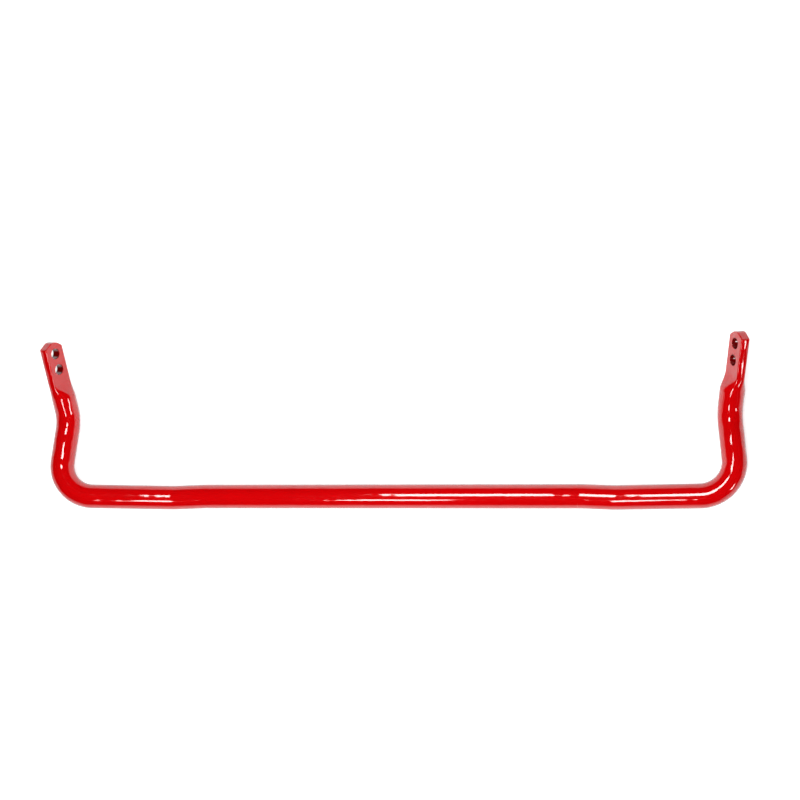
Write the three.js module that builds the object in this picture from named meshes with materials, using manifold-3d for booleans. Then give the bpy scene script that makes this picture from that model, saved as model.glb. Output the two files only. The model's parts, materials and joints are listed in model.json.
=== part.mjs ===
// Front sway bar: a tubular torsion bar lying flat, its two bent arms and their two-hole flattened ends.
// Millimetres. X runs along the bar, Y towards the arm ends, Z up. The bar rests on Z = 0.
import * as THREE from "three";
import { mergeVertices } from "three/addons/utils/BufferGeometryUtils.js";
import Module from "manifold-3d";

// Tube
const TUBE_OD = 28.6;
const TUBE_WALL = 5.2;
const OUTER_SIDES = 24;
const BORE_SIDES = 12;
const JOINT_GAP = 0.3; // between neighbouring pieces

// Centreline of the right half, from the middle of the torsion tube, in the tube's own axes
const TORSION_HALF = 220; // straight stretch, from the middle to the seam with the arm
const JOG_START = 226;
const JOG_END = 262;
const JOG_BACK = 1.1;
const JOG_RISE = 3;
const CORNER_X = 400.5;
const CORNER_Y = 4.1;
const CORNER_RISE = 25.9;
const ELBOW_X = 393.9;
const ELBOW_Y = 94.2;
const ELBOW_DROP = 2.2;
const JOG_BEND_R = 100;
const CORNER_BEND_R = 39;
const ELBOW_BEND_R = 39;
const ARM_STEPS = 40;

// Flattened end: it leans in at the top and climbs towards its tip. Lengths are back from the outer hole.
const END_YAW = 5.2; // degrees, outwards
const END_CLIMB = 18.9; // degrees, upwards
const END_TWIST = 24.8; // degrees that the flat faces lean over from upright
const END_SETBACK = 72; // to the seam with the arm
const SEAM_PAST_BEND = 0.8; // straight tube between the elbow's bend and the seam
const PADDLE_WIDTH = 28.6;
const PADDLE_THICK = 10.4;
const PADDLE_SHIFT = 1; // its middle plane lies this far outside the tube's centreline
const EDGE_CROWN = 0.8; // how far its long edges bulge between the faces
const FLAT_BACK = 37; // to the line where its faces stop being flat
const PRESS_RAMP = 19; // from there to the round tube
const MOUTH_DEPTH = 12; // of the bore's pinched-in end
const MOUTH_PINCH = 0.25; // share of the bore's width that is left there
const HOLE_D = 12.7;
const HOLE_SPACING = 20;

// The tip, ahead of the outer hole: both corners are clipped
const TIP = 14.5;
const TIP_SLOPE = 1.6;
const UPPER_CLIP_X = 2;
const LOWER_CLIP_X = 6;
const UPPER_SHOULDER = 8.8;
const LOWER_SHOULDER = 6.2;
const HOLE_SIDES = 24;

const paint = { color: 0xd40606, roughness: 0.22, metalness: 0 };

const wasm = await Module();
wasm.setup();

function toSolid(geometry) {
  const bare = geometry.clone();
  bare.deleteAttribute("normal");
  bare.deleteAttribute("uv");
  const merged = mergeVertices(bare, 1e-4);
  return new wasm.Manifold(
    new wasm.Mesh({
      numProp: 3,
      vertProperties: merged.attributes.position.array,
      triVerts: new Uint32Array(merged.index.array),
    }),
  );
}

function toGeometry(solid) {
  const mesh = solid.getMesh();
  const geometry = new THREE.BufferGeometry();
  geometry.setAttribute("position", new THREE.BufferAttribute(mesh.vertProperties, 3));
  geometry.setIndex(new THREE.BufferAttribute(mesh.triVerts, 1));
  geometry.computeVertexNormals();
  return geometry;
}

function paintedMesh(name, geometry) {
  const mesh = new THREE.Mesh(geometry, new THREE.MeshStandardMaterial(paint));
  mesh.name = name;
  return mesh;
}

// A circular bend that rounds off the corner between two straights.
class Bend extends THREE.Curve {
  constructor(before, corner, after, radius) {
    super();
    const back = before.clone().sub(corner).normalize();
    const ahead = after.clone().sub(corner).normalize();
    const half = back.angleTo(ahead) / 2;
    const middle = back.clone().add(ahead).normalize();
    this.sweep = Math.PI - 2 * half;
    this.centre = corner.clone().addScaledVector(middle, radius / Math.sin(half));
    this.start = corner.clone().addScaledVector(back, radius / Math.tan(half));
    this.end = corner.clone().addScaledVector(ahead, radius / Math.tan(half));
  }

  getPoint(t, target = new THREE.Vector3()) {
    const from = this.start.clone().sub(this.centre);
    const to = this.end.clone().sub(this.centre);
    const scale = 1 / Math.sin(this.sweep);
    return target
      .copy(this.centre)
      .addScaledVector(from, Math.sin((1 - t) * this.sweep) * scale)
      .addScaledVector(to, Math.sin(t * this.sweep) * scale);
  }
}

// Straights through the points, with a bend of the given radius at each inner one.
function bentPath(points, radii) {
  const path = new THREE.CurvePath();
  let from = points[0];
  radii.forEach((radius, i) => {
    const bend = new Bend(points[i], points[i + 1], points[i + 2], radius);
    path.add(new THREE.LineCurve3(from, bend.start));
    path.add(bend);
    from = bend.end;
  });
  path.add(new THREE.LineCurve3(from, points.at(-1)));
  return path;
}

function circlePoints(radius, sides) {
  return Array.from({ length: sides }, (_, i) => {
    const angle = (2 * Math.PI * i) / sides;
    return new THREE.Vector2(radius * Math.cos(angle), radius * Math.sin(angle));
  });
}

function tubeAlong(path, steps) {
  const ring = new THREE.Shape(circlePoints(TUBE_OD / 2, OUTER_SIDES));
  ring.holes.push(new THREE.Path(circlePoints(TUBE_OD / 2 - TUBE_WALL, BORE_SIDES)));
  return new THREE.ExtrudeGeometry(ring, { steps, extrudePath: path, bevelEnabled: false });
}

// The flattened end's own axes: local Y to the tip, local Z out of its inner face, local X across it.
function endFrame() {
  const turn = new THREE.Euler(
    THREE.MathUtils.degToRad(END_CLIMB),
    0,
    THREE.MathUtils.degToRad(-END_YAW),
    "ZXY",
  );
  const lean = new THREE.Matrix4().makeRotationY(THREE.MathUtils.degToRad(END_TWIST - 90));
  return new THREE.Matrix4().makeRotationFromEuler(turn).multiply(lean);
}

function armPath(frame) {
  const elbow = new THREE.Vector3(ELBOW_X, ELBOW_Y, -ELBOW_DROP);
  const tipward = new THREE.Vector3().setFromMatrixColumn(frame, 1);
  const points = [
    new THREE.Vector3(TORSION_HALF + JOINT_GAP, 0, 0),
    new THREE.Vector3(JOG_START, 0, 0),
    new THREE.Vector3(JOG_END, -JOG_BACK, JOG_RISE),
    new THREE.Vector3(CORNER_X, CORNER_Y, CORNER_RISE),
    elbow,
  ];
  const turn = tipward.angleTo(elbow.clone().sub(points.at(-2)));
  const bendRun = ELBOW_BEND_R * Math.tan(turn / 2);
  points.push(elbow.clone().addScaledVector(tipward, bendRun + SEAM_PAST_BEND));
  return bentPath(points, [JOG_BEND_R, JOG_BEND_R, CORNER_BEND_R, ELBOW_BEND_R]);
}

// The paddle's section, from the matching point of the round tube.
function flatSection(cos, sin) {
  const corner = (2 * Math.PI) / OUTER_SIDES;
  const across = THREE.MathUtils.clamp(cos / Math.cos(corner), -1, 1);
  const through = THREE.MathUtils.clamp(sin / Math.sin(corner), -1, 1);
  const half = PADDLE_WIDTH / 2 - EDGE_CROWN * Math.abs(through);
  return [across * half, (through * PADDLE_THICK) / 2 - PADDLE_SHIFT];
}

// The round tube pressed flat: a capped cylinder whose rings change from a circle to the paddle's section.
function pressedTube() {
  const length = END_SETBACK + TIP + 1;
  const rings = 22;
  const flatFrom = Math.max(-FLAT_BACK, PRESS_RAMP - END_SETBACK);
  const geometry = new THREE.CylinderGeometry(TUBE_OD / 2, TUBE_OD / 2, length, OUTER_SIDES, rings);
  geometry.translate(0, length / 2 - END_SETBACK, 0);
  const position = geometry.attributes.position;
  for (let i = 0; i < position.count; i++) {
    const [x, y, z] = [position.getX(i), position.getY(i), position.getZ(i)];
    const radius = Math.hypot(x, z);
    if (radius < 1e-3) continue; // the middle of a cap
    const [flatX, flatZ] = flatSection(x / radius, z / radius);
    const flat = THREE.MathUtils.smoothstep(y, flatFrom - PRESS_RAMP, flatFrom);
    position.setX(i, THREE.MathUtils.lerp(x, flatX, flat));
    position.setZ(i, THREE.MathUtils.lerp(z, flatZ, flat));
  }
  return toSolid(geometry);
}

function upright(radiusTop, radiusBottom, length, sides) {
  return new THREE.CylinderGeometry(radiusTop, radiusBottom, length, sides);
}

function paddleOutline() {
  const half = PADDLE_WIDTH / 2;
  const outline = new THREE.Shape();
  outline.moveTo(-half - 1, JOINT_GAP - END_SETBACK);
  outline.lineTo(half + 1, JOINT_GAP - END_SETBACK);
  outline.lineTo(half + 1, UPPER_SHOULDER);
  outline.lineTo(half, UPPER_SHOULDER);
  outline.lineTo(UPPER_CLIP_X, TIP);
  outline.lineTo(-LOWER_CLIP_X, TIP - TIP_SLOPE);
  outline.lineTo(-half, LOWER_SHOULDER);
  outline.lineTo(-half - 1, LOWER_SHOULDER);
  outline.closePath();
  const depth = TUBE_OD + 2;
  return new THREE.ExtrudeGeometry(outline, { depth, bevelEnabled: false }).translate(0, 0, -depth / 2);
}

function endSolid() {
  const bore = TUBE_OD / 2 - TUBE_WALL;
  let end = pressedTube().intersect(toSolid(paddleOutline()));
  const mouth = upright(bore * MOUTH_PINCH, bore, MOUTH_DEPTH, BORE_SIDES);
  end = end.subtract(toSolid(mouth.translate(0, MOUTH_DEPTH / 2 - END_SETBACK, 0)));
  for (const y of [0, -HOLE_SPACING]) {
    const hole = upright(HOLE_D / 2, HOLE_D / 2, TUBE_OD, HOLE_SIDES).rotateX(Math.PI / 2);
    end = end.subtract(toSolid(hole.translate(0, y, 0)));
  }
  return end;
}

function halfBar(side, frame, path, armGeometry, endGeometry) {
  const half = new THREE.Group();
  half.add(paintedMesh(side + "_arm", armGeometry));
  const end = paintedMesh(side + "_end_paddle", endGeometry);
  const tipward = new THREE.Vector3().setFromMatrixColumn(frame, 1);
  end.setRotationFromMatrix(frame);
  end.position.copy(path.getPoint(1)).addScaledVector(tipward, END_SETBACK);
  half.add(end);
  return half;
}

const bar = new THREE.Group();
const middle = new THREE.LineCurve3(
  new THREE.Vector3(-TORSION_HALF, 0, 0),
  new THREE.Vector3(TORSION_HALF, 0, 0),
);
bar.add(paintedMesh("torsion_tube", tubeAlong(middle, 1)));

const frame = endFrame();
const path = armPath(frame);
const armGeometry = tubeAlong(path, ARM_STEPS);
const endGeometry = toGeometry(endSolid());
const right = halfBar("right", frame, path, armGeometry, endGeometry);
const left = halfBar("left", frame, path, armGeometry, endGeometry);
left.scale.x = -1;
bar.add(right, left);

// The part's origin is under the middle of the bar's box, on the surface that it rests on.
const box = new THREE.Box3().setFromObject(bar, true);
bar.position.set(0, -(box.min.y + box.max.y) / 2, -box.min.z);

const part = new THREE.Group();
part.add(bar);
export default part;
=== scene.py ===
import json
import math

import bmesh
import bpy
import numpy as np
from mathutils import Matrix, Vector


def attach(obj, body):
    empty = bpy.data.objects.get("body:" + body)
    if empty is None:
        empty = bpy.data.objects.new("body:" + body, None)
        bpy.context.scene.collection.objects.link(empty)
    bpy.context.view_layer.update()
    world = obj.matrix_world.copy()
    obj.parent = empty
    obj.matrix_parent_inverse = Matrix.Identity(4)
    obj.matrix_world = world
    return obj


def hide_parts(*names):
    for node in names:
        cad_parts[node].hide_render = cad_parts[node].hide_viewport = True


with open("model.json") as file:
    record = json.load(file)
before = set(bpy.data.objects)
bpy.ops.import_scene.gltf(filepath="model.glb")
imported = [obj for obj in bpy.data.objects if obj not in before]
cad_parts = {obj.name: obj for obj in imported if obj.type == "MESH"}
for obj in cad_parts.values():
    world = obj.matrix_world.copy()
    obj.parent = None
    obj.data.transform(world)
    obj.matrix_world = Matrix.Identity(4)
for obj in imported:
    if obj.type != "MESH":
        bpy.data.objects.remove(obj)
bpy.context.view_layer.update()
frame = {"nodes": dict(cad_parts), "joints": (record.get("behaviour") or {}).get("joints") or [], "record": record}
record = frame["record"]
print("frame loaded,", len(frame["nodes"]), "nodes")


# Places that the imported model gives: the twist axis, the link holes and the way that the
# paddle's inner face looks.
def openingMiddle(name):
    for opening in record["physics"]["openings"]:
        if opening["name"] == name:
            low, high = opening["box_m"]
            return (Vector(low) + Vector(high)) / 2
    raise ValueError("no opening " + name)


def mountAxis(name):
    mount = next(mount for mount in record["mounts"] if mount["name"] == name)
    return Vector(mount["axis"]).normalized()


twistAxis = Vector(frame["joints"][0]["pos_m"])
outerHole = openingMiddle("right_link_hole_outer")
innerHole = openingMiddle("right_link_hole_inner")
faceOut = mountAxis("right_link_inner_face")
tipward = (outerHole - innerHole).normalized()
faceOut = (faceOut - tipward * faceOut.dot(tipward)).normalized()
across = tipward.cross(faceOut)
paddlePlace = Matrix((across, tipward, faceOut)).transposed().to_4x4()
paddlePlace.translation = outerHole


# ---- paint
redPowderCoat = {
    "red": (0.50, 0.0006, 0.0016),
    "deepRed": (0.44, 0.0004, 0.0012),
    "undercoatRoughness": 0.06,
    "coatRoughness": 0.03,
    "refraction": 1.5,
    "tonePatches": (24, 3),       # scale and detail of the drift between the two reds
    "glossPatches": (90, 2),      # and of the drift in the undercoat's roughness
    "glossPatchRange": (0.3, 0.7),
    "glossPatchSpread": (0.8, 1.25),
    "peelScale": 420.0,           # fine orange peel, per metre
    "peelDepth": 0.000012,
    "flowScale": 85.0,            # long waves in the surface, strongest on the bent arms
    "flowDepth": 0.00070,
    "flowInMiddle": 0.2,
    "bentFrom": 0.33,             # from the middle, along the bar
    "bentTo": 0.39,
}
# painted shade: the link holes' walls get a much darker red, standing in for the shade inside the deep narrow
# holes
paintedHoleShade = dict(redPowderCoat, red=(0.15, 0.0003, 0.0005), deepRed=(0.12, 0.0002, 0.0004))


def makeRedPaint(name, look):
    paint = bpy.data.materials.new(name)
    paint.use_nodes = True
    nodes, links = paint.node_tree.nodes, paint.node_tree.links
    shader = nodes["Principled BSDF"]
    where = nodes.new("ShaderNodeTexCoord").outputs["Object"]

    def noise(scale, detail):
        node = nodes.new("ShaderNodeTexNoise")
        node.inputs["Scale"].default_value = scale
        node.inputs["Detail"].default_value = detail
        links.new(where, node.inputs["Vector"])
        return node.outputs["Fac"]

    tone = nodes.new("ShaderNodeMix")
    tone.data_type = "RGBA"
    tone.inputs["A"].default_value = (*look["deepRed"], 1)
    tone.inputs["B"].default_value = (*look["red"], 1)
    links.new(noise(*look["tonePatches"]), tone.inputs["Factor"])
    links.new(tone.outputs["Result"], shader.inputs["Base Color"])

    gloss = nodes.new("ShaderNodeMapRange")
    patchLow, patchHigh = look["glossPatchRange"]
    smoothest, roughest = look["glossPatchSpread"]
    gloss.inputs["From Min"].default_value = patchLow
    gloss.inputs["From Max"].default_value = patchHigh
    gloss.inputs["To Min"].default_value = look["undercoatRoughness"] * smoothest
    gloss.inputs["To Max"].default_value = look["undercoatRoughness"] * roughest
    links.new(noise(*look["glossPatches"]), gloss.inputs["Value"])
    links.new(gloss.outputs["Result"], shader.inputs["Roughness"])

    along = nodes.new("ShaderNodeSeparateXYZ")
    links.new(where, along.inputs["Vector"])
    fromMiddle = nodes.new("ShaderNodeMath")
    fromMiddle.operation = "ABSOLUTE"
    links.new(along.outputs["X"], fromMiddle.inputs[0])
    bent = nodes.new("ShaderNodeMapRange")
    bent.inputs["From Min"].default_value = look["bentFrom"]
    bent.inputs["From Max"].default_value = look["bentTo"]
    bent.inputs["To Min"].default_value = look["flowInMiddle"]
    bent.inputs["To Max"].default_value = 1.0
    links.new(fromMiddle.outputs["Value"], bent.inputs["Value"])
    waves = nodes.new("ShaderNodeMath")
    waves.operation = "MULTIPLY"
    links.new(noise(look["flowScale"], 0), waves.inputs[0])
    links.new(bent.outputs["Result"], waves.inputs[1])

    flow = nodes.new("ShaderNodeBump")
    flow.inputs["Strength"].default_value = 1.0
    flow.inputs["Distance"].default_value = look["flowDepth"]
    links.new(waves.outputs["Value"], flow.inputs["Height"])
    peel = nodes.new("ShaderNodeBump")
    peel.inputs["Strength"].default_value = 1.0
    peel.inputs["Distance"].default_value = look["peelDepth"]
    links.new(noise(look["peelScale"], 1), peel.inputs["Height"])
    links.new(flow.outputs["Normal"], peel.inputs["Normal"])
    links.new(peel.outputs["Normal"], shader.inputs["Normal"])
    links.new(peel.outputs["Normal"], shader.inputs["Coat Normal"])

    shader.inputs["IOR"].default_value = look["refraction"]
    shader.inputs["Coat Weight"].default_value = 1.0
    shader.inputs["Coat Roughness"].default_value = look["coatRoughness"]
    shader.inputs["Coat IOR"].default_value = look["refraction"]
    return paint


redPaint = makeRedPaint("redPowderCoat", redPowderCoat)
holeShadePaint = makeRedPaint("paintedHoleShade", paintedHoleShade)
print("paint mixed")


# ---- round tube: the torsion tube and both arms
bentTube = {
    "radius": 0.0143,
    "sides": 128,
    "ringSpacing": 0.002,
    "bendSteps": 64,
    "seam": 0.22015,              # torsion tube to arm, from the middle
    "seamGap": 0.00006,
    # corners of the right arm's centreline, from the twist axis, each with its bend radius
    "corners": [
        ((0.2260, 0.0, 0.0), 0.100),
        ((0.2620, -0.0011, 0.0030), 0.100),
        ((0.4005, 0.0041, 0.0259), 0.039),
        ((0.3939, 0.0942, -0.0022), 0.039),
    ],
    "paddleSeam": 0.07185,        # arm to paddle, back from the outer hole
}


def makeTubeTree():
    tree = bpy.data.node_groups.new("bentTube", "GeometryNodeTree")
    tree.is_modifier = True
    face = tree.interface
    face.new_socket("Geometry", in_out="INPUT", socket_type="NodeSocketGeometry")
    for name, kind in (("Radius", "Float"), ("Ring Spacing", "Float"), ("Sides", "Int"),
                       ("Bend Steps", "Int"), ("Paint", "Material")):
        face.new_socket(name, in_out="INPUT", socket_type="NodeSocket" + kind)
    face.new_socket("Geometry", in_out="OUTPUT", socket_type="NodeSocketGeometry")
    nodes, links = tree.nodes, tree.links
    given = nodes.new("NodeGroupInput").outputs
    line = nodes.new("GeometryNodeMeshToCurve")
    links.new(given["Geometry"], line.inputs["Mesh"])
    bendRadius = nodes.new("GeometryNodeInputNamedAttribute")
    bendRadius.data_type = "FLOAT"
    bendRadius.inputs["Name"].default_value = "bendRadius"
    bends = nodes.new("GeometryNodeFilletCurve")
    bends.mode = "POLY"
    links.new(line.outputs["Curve"], bends.inputs["Curve"])
    links.new(bendRadius.outputs["Attribute"], bends.inputs["Radius"])
    links.new(given["Bend Steps"], bends.inputs["Count"])
    rings = nodes.new("GeometryNodeResampleCurve")
    rings.mode = "LENGTH"
    links.new(bends.outputs["Curve"], rings.inputs["Curve"])
    links.new(given["Ring Spacing"], rings.inputs["Length"])
    circle = nodes.new("GeometryNodeCurvePrimitiveCircle")
    links.new(given["Sides"], circle.inputs["Resolution"])
    links.new(given["Radius"], circle.inputs["Radius"])
    skin = nodes.new("GeometryNodeCurveToMesh")
    skin.inputs["Fill Caps"].default_value = True
    links.new(rings.outputs["Curve"], skin.inputs["Curve"])
    links.new(circle.outputs["Curve"], skin.inputs["Profile Curve"])
    smooth = nodes.new("GeometryNodeSetShadeSmooth")
    links.new(skin.outputs["Mesh"], smooth.inputs["Geometry"])
    real = nodes.new("GeometryNodeRealizeInstances")
    links.new(smooth.outputs["Geometry"], real.inputs["Geometry"])
    painted = nodes.new("GeometryNodeSetMaterial")
    links.new(real.outputs["Geometry"], painted.inputs["Geometry"])
    links.new(given["Paint"], painted.inputs["Material"])
    links.new(painted.outputs["Geometry"], nodes.new("NodeGroupOutput").inputs["Geometry"])
    return tree


def socketOf(tree, name):
    return next(socket.identifier for socket in tree.interface.items_tree
                if socket.name == name and socket.in_out == "INPUT")


def addPiece(name, mesh):
    piece = bpy.data.objects.new(name, mesh)
    bpy.context.scene.collection.objects.link(piece)
    return piece


def makeTube(name, points, radii, tree, sizes):
    mesh = bpy.data.meshes.new(name)
    mesh.from_pydata(points, [(i, i + 1) for i in range(len(points) - 1)], [])
    bendRadius = mesh.attributes.new("bendRadius", "FLOAT", "POINT")
    bendRadius.data.foreach_set("value", radii)
    piece = addPiece(name, mesh)
    modifier = piece.modifiers.new("tube", "NODES")
    modifier.node_group = tree
    modifier[socketOf(tree, "Radius")] = sizes["radius"]
    modifier[socketOf(tree, "Ring Spacing")] = sizes["ringSpacing"]
    modifier[socketOf(tree, "Sides")] = sizes["sides"]
    modifier[socketOf(tree, "Bend Steps")] = sizes["bendSteps"]
    modifier[socketOf(tree, "Paint")] = redPaint
    finished = piece.evaluated_get(bpy.context.evaluated_depsgraph_get())
    shape = bpy.data.meshes.new_from_object(finished)
    piece.modifiers.clear()
    piece.data = shape
    shape.name = name
    finishShading(shape)
    return piece


def finishShading(mesh):
    shell = bmesh.new()
    shell.from_mesh(mesh)
    if shell.calc_volume(signed=True) < 0:
        bmesh.ops.reverse_faces(shell, faces=shell.faces)
    shell.to_mesh(mesh)
    shell.free()
    mesh.shade_smooth()
    mesh.set_sharp_from_angle(angle=math.radians(60))


def mirrored(points):
    return [(-x, y, z) for x, y, z in points]


tubeTree = makeTubeTree()
tubeEnd = bentTube["seam"] - bentTube["seamGap"] / 2
armStart = bentTube["seam"] + bentTube["seamGap"] / 2
torsionEnds = [twistAxis + Vector((side * tubeEnd, 0, 0)) for side in (-1, 1)]
torsionPoints = [tuple(end) for end in torsionEnds]
torsionTube = makeTube("torsionTubeSkin", torsionPoints, [0.0, 0.0], tubeTree, bentTube)
armPoints = [tuple(twistAxis + Vector((armStart, 0, 0)))]
armPoints += [tuple(twistAxis + Vector(corner)) for corner, radius in bentTube["corners"]]
armPoints += [tuple(outerHole - tipward * bentTube["paddleSeam"])]
armRadii = [0.0] + [radius for corner, radius in bentTube["corners"]] + [0.0]
rightArm = makeTube("rightArmSkin", armPoints, armRadii, tubeTree, bentTube)
leftArm = makeTube("leftArmSkin", mirrored(armPoints), armRadii, tubeTree, bentTube)
print("tubes bent:", len(torsionTube.data.polygons), len(rightArm.data.polygons), "faces")


# ---- end paddle: the tube pressed flat, trimmed to its outline and drilled
endPaddle = {
    "width": 0.0286,
    "thickness": 0.0104,
    "shift": 0.0010,              # its middle plane lies this far outside the tube's centreline
    "edgeRadius": 0.0012,         # along the flat's four long edges
    "edgeCrown": 0.0008,          # how far those edges bulge between the faces
    "flatBack": 0.0370,           # where the faces stop being flat, back from the outer hole
    "pressRamp": 0.0190,          # from there to the round tube
    "tipOutline": [(-0.0143, 0.0062), (-0.0060, 0.0129), (0.0020, 0.0145), (0.0143, 0.0088)],
    "clipRounding": 0.0016,
    "tipEdgeRadius": 0.0010,
    "holeDiameter": 0.0127,
    "holeSpacing": (outerHole - innerHole).length,
    "rimRadius": 0.0005,
    "paintedShadeReach": 0.3,        # how far the painted hole shade comes out over the rim, in rim radii
    "meshStep": 0.00044,
}


def roundedMeet(a, b, radius):
    # the inside of both, with the edge between them rounded off
    over = np.hypot(np.maximum(a + radius, 0), np.maximum(b + radius, 0))
    return np.minimum(np.maximum(a, b), -radius) + over


def lineSide(x, y, start, end):
    # distance out of the line from start to end, with the inside on its right
    along = np.subtract(end, start)
    return ((x - start[0]) * -along[1] + (y - start[1]) * along[0]) / np.hypot(*along)


def paddleOutline(x, y, size):
    points = size["tipOutline"]
    lower, top, upper = (lineSide(x, y, points[i], points[i + 1]) for i in range(3))
    return roundedMeet(roundedMeet(lower, top, size["clipRounding"]), upper, size["clipRounding"])


def paddleField(points, size):
    # below zero inside the paddle: x across it, y towards the tip, z out of its inner face
    x, y, z = points[..., 0], points[..., 1], points[..., 2]
    tube = bentTube["radius"]
    back = np.clip(-(y + size["flatBack"]) / size["pressRamp"], 0, 1)
    rise = back * back * (3 - 2 * back)
    halfWidth = size["width"] / 2 + (tube - size["width"] / 2) * rise
    halfThick = size["thickness"] / 2 + (tube - size["thickness"] / 2) * rise
    corner = size["edgeRadius"] + (tube - size["edgeRadius"]) * rise
    through = z + size["shift"] * (1 - rise)
    crown = size["edgeCrown"] * (1 - rise) * (2 * through / size["thickness"]) ** 2
    body = roundedMeet(np.abs(x) - halfWidth + crown, np.abs(through) - halfThick, corner)
    body = roundedMeet(body, paddleOutline(x, y, size), size["tipEdgeRadius"])
    for behind in (0, size["holeSpacing"]):
        hole = size["holeDiameter"] / 2 - np.hypot(x, y + behind)
        body = roundedMeet(body, hole, size["rimRadius"])
    return body


def fieldSlope(points, size):
    small = 0.00002
    steps = np.eye(3) * small
    rises = [paddleField(points + s, size) - paddleField(points - s, size) for s in steps]
    return np.stack(rises, -1) / (2 * small)


def ontoSurface(points, size):
    for _ in range(5):
        slope = fieldSlope(points, size)
        reach = paddleField(points, size) / np.maximum((slope ** 2).sum(-1), 0.05)
        points = points - slope * np.clip(reach, -size["meshStep"], size["meshStep"])[:, None]
    return points


def skinCells(size):
    # one vertex in each small cell that the surface crosses, one quad across each crossed edge
    step = size["meshStep"]
    half, tube = size["width"] / 2, bentTube["radius"]
    low = np.array([-half, -bentTube["paddleSeam"] - 4 * step, -tube]) - 2 * step
    high = np.array([half, size["tipOutline"][2][1], tube]) + 2 * step
    lines = [np.arange(a, b, step) for a, b in zip(low, high)]
    inside = paddleField(np.stack(np.meshgrid(*lines, indexing="ij"), -1), size) < 0
    count = np.zeros(np.subtract(inside.shape, 1), int)
    for i in (0, 1):
        for j in (0, 1):
            for k in (0, 1):
                count += inside[i:i + count.shape[0], j:j + count.shape[1], k:k + count.shape[2]]
    crossed = (count > 0) & (count < 8)
    number = np.full(crossed.shape, -1)
    number[crossed] = np.arange(crossed.sum())
    points = low + (np.argwhere(crossed) + 0.5) * step
    quads = []
    for axis in range(3):
        one, two = (axis + 1) % 3, (axis + 2) % 3
        here = np.take(inside, range(inside.shape[axis] - 1), axis)
        there = np.take(inside, range(1, inside.shape[axis]), axis)
        spots = np.argwhere(here != there)
        limit = np.array(crossed.shape)
        spots = spots[(spots[:, one] > 0) & (spots[:, two] > 0) & (spots[:, one] < limit[one])
                      & (spots[:, two] < limit[two])]
        around = []
        for back in ((1, 1), (0, 1), (0, 0), (1, 0)):
            cell = spots.copy()
            cell[:, one] -= back[0]
            cell[:, two] -= back[1]
            around.append(number[tuple(cell.T)])
        quad = np.stack(around, 1)
        leaving = here[tuple(spots.T)]
        quad[~leaving] = quad[~leaving][:, ::-1]
        quads.append(quad)
    quads = np.concatenate(quads)
    return points, quads[(quads >= 0).all(1)]


def relax(points, quads, size, rounds=4):
    ends = np.concatenate([quads[:, [i, (i + 1) % 4]] for i in range(4)])
    ends = np.unique(np.sort(ends, 1), axis=0)
    total = np.bincount(ends.ravel(), minlength=len(points))
    for _ in range(rounds):
        middle = np.zeros_like(points)
        for side in (0, 1):
            for axis in range(3):
                pull = points[ends[:, 1 - side], axis]
                middle[:, axis] += np.bincount(ends[:, side], pull, len(points))
        points = ontoSurface(points + 0.5 * (middle / total[:, None] - points), size)
    return points


def makePaddle(size):
    points, quads = skinCells(size)
    points = relax(ontoSurface(points, size), quads, size)
    mesh = bpy.data.meshes.new("rightPaddleSkin")
    mesh.from_pydata(points.tolist(), [], quads.tolist())
    shell = bmesh.new()
    shell.from_mesh(mesh)
    everything = shell.verts[:] + shell.edges[:] + shell.faces[:]
    cut = bmesh.ops.bisect_plane(shell, geom=everything, plane_co=(0, -bentTube["paddleSeam"], 0),
                                 plane_no=(0, -1, 0), clear_outer=True, dist=1e-6)
    rim = [e for e in cut["geom_cut"] if isinstance(e, bmesh.types.BMEdge)]
    bmesh.ops.contextual_create(shell, geom=rim)
    shell.to_mesh(mesh)
    shell.free()
    mesh.materials.append(redPaint)
    mesh.materials.append(holeShadePaint)
    # faces on and just around the link holes' walls take the darker red, a painted shade
    holeShadeReach = size["holeDiameter"] / 2 + size["paintedShadeReach"] * size["rimRadius"]
    for face in mesh.polygons:
        x, y, _ = face.center
        fromAxis = min(math.hypot(x, y + behind) for behind in (0, size["holeSpacing"]))
        face.material_index = int(fromAxis < holeShadeReach)
    mesh.transform(paddlePlace)
    finishShading(mesh)
    return addPiece("rightPaddleSkin", mesh)


rightPaddle = makePaddle(endPaddle)
leftMesh = rightPaddle.data.copy()
leftMesh.name = "leftPaddleSkin"
leftMesh.transform(Matrix.Scale(-1, 4, (1, 0, 0)))
finishShading(leftMesh)
leftPaddle = addPiece("leftPaddleSkin", leftMesh)
print("paddles pressed:", len(rightPaddle.data.polygons), "faces")

for piece, body, node in (
    (torsionTube, "torsion_tube", "torsion_tube"),
    (leftArm, "left_arm", "left_arm"),
    (rightArm, "right_arm", "right_arm"),
    (leftPaddle, "left_arm", "left_end_paddle"),
    (rightPaddle, "right_arm", "right_end_paddle"),
):
    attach(piece, body)
    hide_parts(node)
print("pieces on their bodies")


# ---- studio
studio = {
    "floorSize": 14.0,
    "floorColor": (0.72, 0.72, 0.72),
    "floorGlow": 0.55,            # evens the floor out to white, and isn't seen in the paint
    "roomLight": 0.62,
    "lowSurroundings": 1.0,
    "horizonTop": 0.09,           # how high the pale surroundings reach, as a sine of elevation
    "horizonSoftness": 0.02,
    "horizonTilt": (0.0, 0.05),   # they reach higher towards the front
    "cameraPlace": (0.2421, 0.1027, 1.6462),
    "cameraRight": (0.99037, -0.01659, -0.13746),
    "cameraUp": (0.0101, 0.99881, -0.04776),
    "cameraLens": 63.0,
    "topLight": {"middle": (0.02, -0.22, 0.85), "size": 0.6, "power": 5.2},
    # lamps seen in the paint: middle, width and depth, power
    "lamps": [
        {"name": "backLamp", "middle": (-0.05, 0.47, 1.60), "size": (0.40, 0.58), "power": 9},
        {"name": "frontLamp", "middle": (-0.25, -0.96, 1.60), "size": (0.26, 0.36), "power": 3.7},
        {"name": "sideLamp", "middle": (1.95, -1.00, 1.10), "size": (0.44, 0.30), "power": 5},
    ],
}


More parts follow.
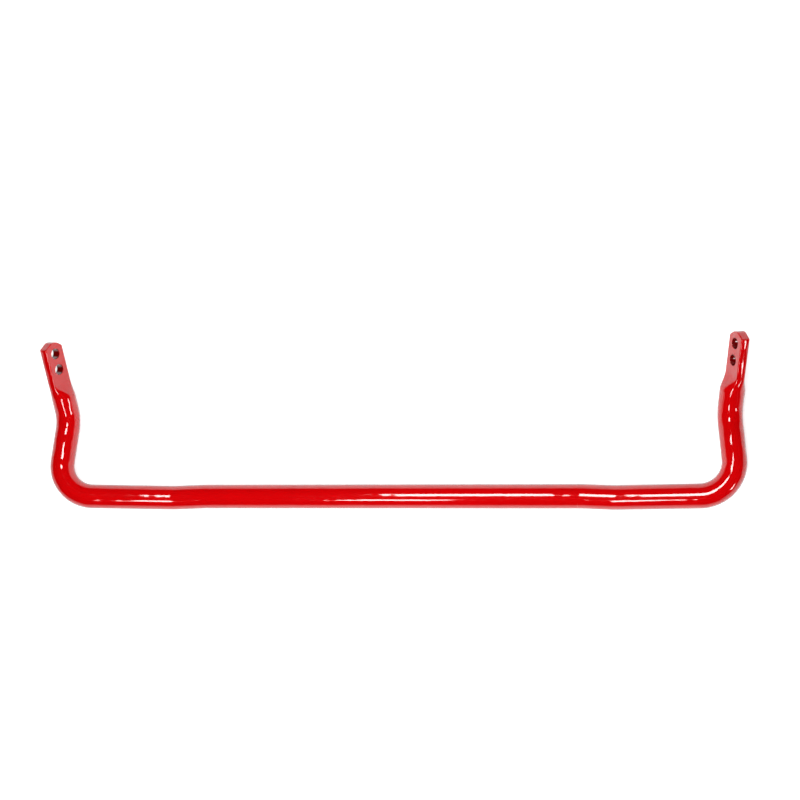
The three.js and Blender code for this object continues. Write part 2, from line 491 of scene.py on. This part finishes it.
def makeFloor():
    half = studio["floorSize"] / 2
    mesh = bpy.data.meshes.new("floor")
    corners = [(-half, -half, 0), (half, -half, 0), (half, half, 0), (-half, half, 0)]
    mesh.from_pydata(corners, [], [(0, 1, 2, 3)])
    floor = addPiece("floor", mesh)
    pale = bpy.data.materials.new("paleFloor")
    pale.use_nodes = True
    shader = pale.node_tree.nodes["Principled BSDF"]
    shader.inputs["Base Color"].default_value = (*studio["floorColor"], 1)
    shader.inputs["Roughness"].default_value = 0.9
    shader.inputs["Specular IOR Level"].default_value = 0.0
    nodes, links = pale.node_tree.nodes, pale.node_tree.links
    seen = nodes.new("ShaderNodeMath")
    seen.operation = "MULTIPLY"
    seen.inputs[1].default_value = studio["floorGlow"]
    links.new(nodes.new("ShaderNodeLightPath").outputs["Is Camera Ray"], seen.inputs[0])
    shader.inputs["Emission Color"].default_value = (1, 1, 1, 1)
    links.new(seen.outputs["Value"], shader.inputs["Emission Strength"])
    mesh.materials.append(pale)


def makeRoom():
    world = bpy.data.worlds.new("room")
    world.use_nodes = True
    nodes, links = world.node_tree.nodes, world.node_tree.links
    nodes.clear()
    light = nodes.new("ShaderNodeBackground")
    light.inputs["Color"].default_value = (1, 1, 1, 1)
    brightness = nodes.new("ShaderNodeMapRange")
    brightness.inputs["To Min"].default_value = studio["roomLight"]
    brightness.inputs["To Max"].default_value = 1.0
    way = nodes.new("ShaderNodeLightPath")
    links.new(way.outputs["Is Camera Ray"], brightness.inputs["Value"])
    links.new(brightness.outputs["Result"], light.inputs["Strength"])
    height = nodes.new("ShaderNodeVectorMath")
    height.operation = "DOT_PRODUCT"
    height.inputs[1].default_value = (*studio["horizonTilt"], 1)
    links.new(nodes.new("ShaderNodeTexCoord").outputs["Generated"], height.inputs[0])
    fade = nodes.new("ShaderNodeMapRange")
    fade.inputs["From Min"].default_value = studio["horizonTop"] - studio["horizonSoftness"]
    fade.inputs["From Max"].default_value = studio["horizonTop"] + studio["horizonSoftness"]
    fade.inputs["To Min"].default_value = studio["lowSurroundings"]
    fade.inputs["To Max"].default_value = 0.0
    links.new(height.outputs["Value"], fade.inputs["Value"])
    seenInGloss = nodes.new("ShaderNodeBackground")
    links.new(fade.outputs["Result"], seenInGloss.inputs["Strength"])
    choose = nodes.new("ShaderNodeMixShader")
    links.new(way.outputs["Is Glossy Ray"], choose.inputs["Fac"])
    links.new(light.outputs["Background"], choose.inputs[1])
    links.new(seenInGloss.outputs["Background"], choose.inputs[2])
    links.new(choose.outputs["Shader"], nodes.new("ShaderNodeOutputWorld").inputs["Surface"])
    bpy.context.scene.world = world


def makeLamp(made):
    lamp = bpy.data.lights.new(made["name"], "AREA")
    lamp.shape = "RECTANGLE"
    lamp.size, lamp.size_y = made["size"]
    lamp.energy = made["power"]
    lampObject = bpy.data.objects.new(made["name"], lamp)
    middle = Vector(made["middle"])
    toBar = Vector((0, twistAxis.y, twistAxis.z)) - middle
    aim = toBar.to_track_quat("-Z", "Y").to_matrix().to_4x4()
    lampObject.matrix_world = Matrix.Translation(middle) @ aim
    bpy.context.scene.collection.objects.link(lampObject)


def makeTopLight(top):
    lamp = bpy.data.lights.new("topLight", "AREA")
    lamp.size = top["size"]
    lamp.energy = top["power"]
    lampObject = bpy.data.objects.new("topLight", lamp)
    lampObject.location = top["middle"]
    lampObject.visible_glossy = False
    bpy.context.scene.collection.objects.link(lampObject)


def makeCamera():
    camera = bpy.data.cameras.new("camera")
    camera.lens = studio["cameraLens"]
    camera.sensor_width = 36
    camera.clip_end = 100
    cameraObject = bpy.data.objects.new("camera", camera)
    right, up = Vector(studio["cameraRight"]), Vector(studio["cameraUp"])
    turn = Matrix((right, up, right.cross(up))).transposed().to_4x4()
    cameraObject.matrix_world = Matrix.Translation(studio["cameraPlace"]) @ turn
    bpy.context.scene.collection.objects.link(cameraObject)
    bpy.context.scene.camera = cameraObject


makeFloor()
makeRoom()
makeTopLight(studio["topLight"])
for lamp in studio["lamps"]:
    makeLamp(lamp)
makeCamera()
bpy.context.scene.view_settings.view_transform = "Standard"
print("studio set")
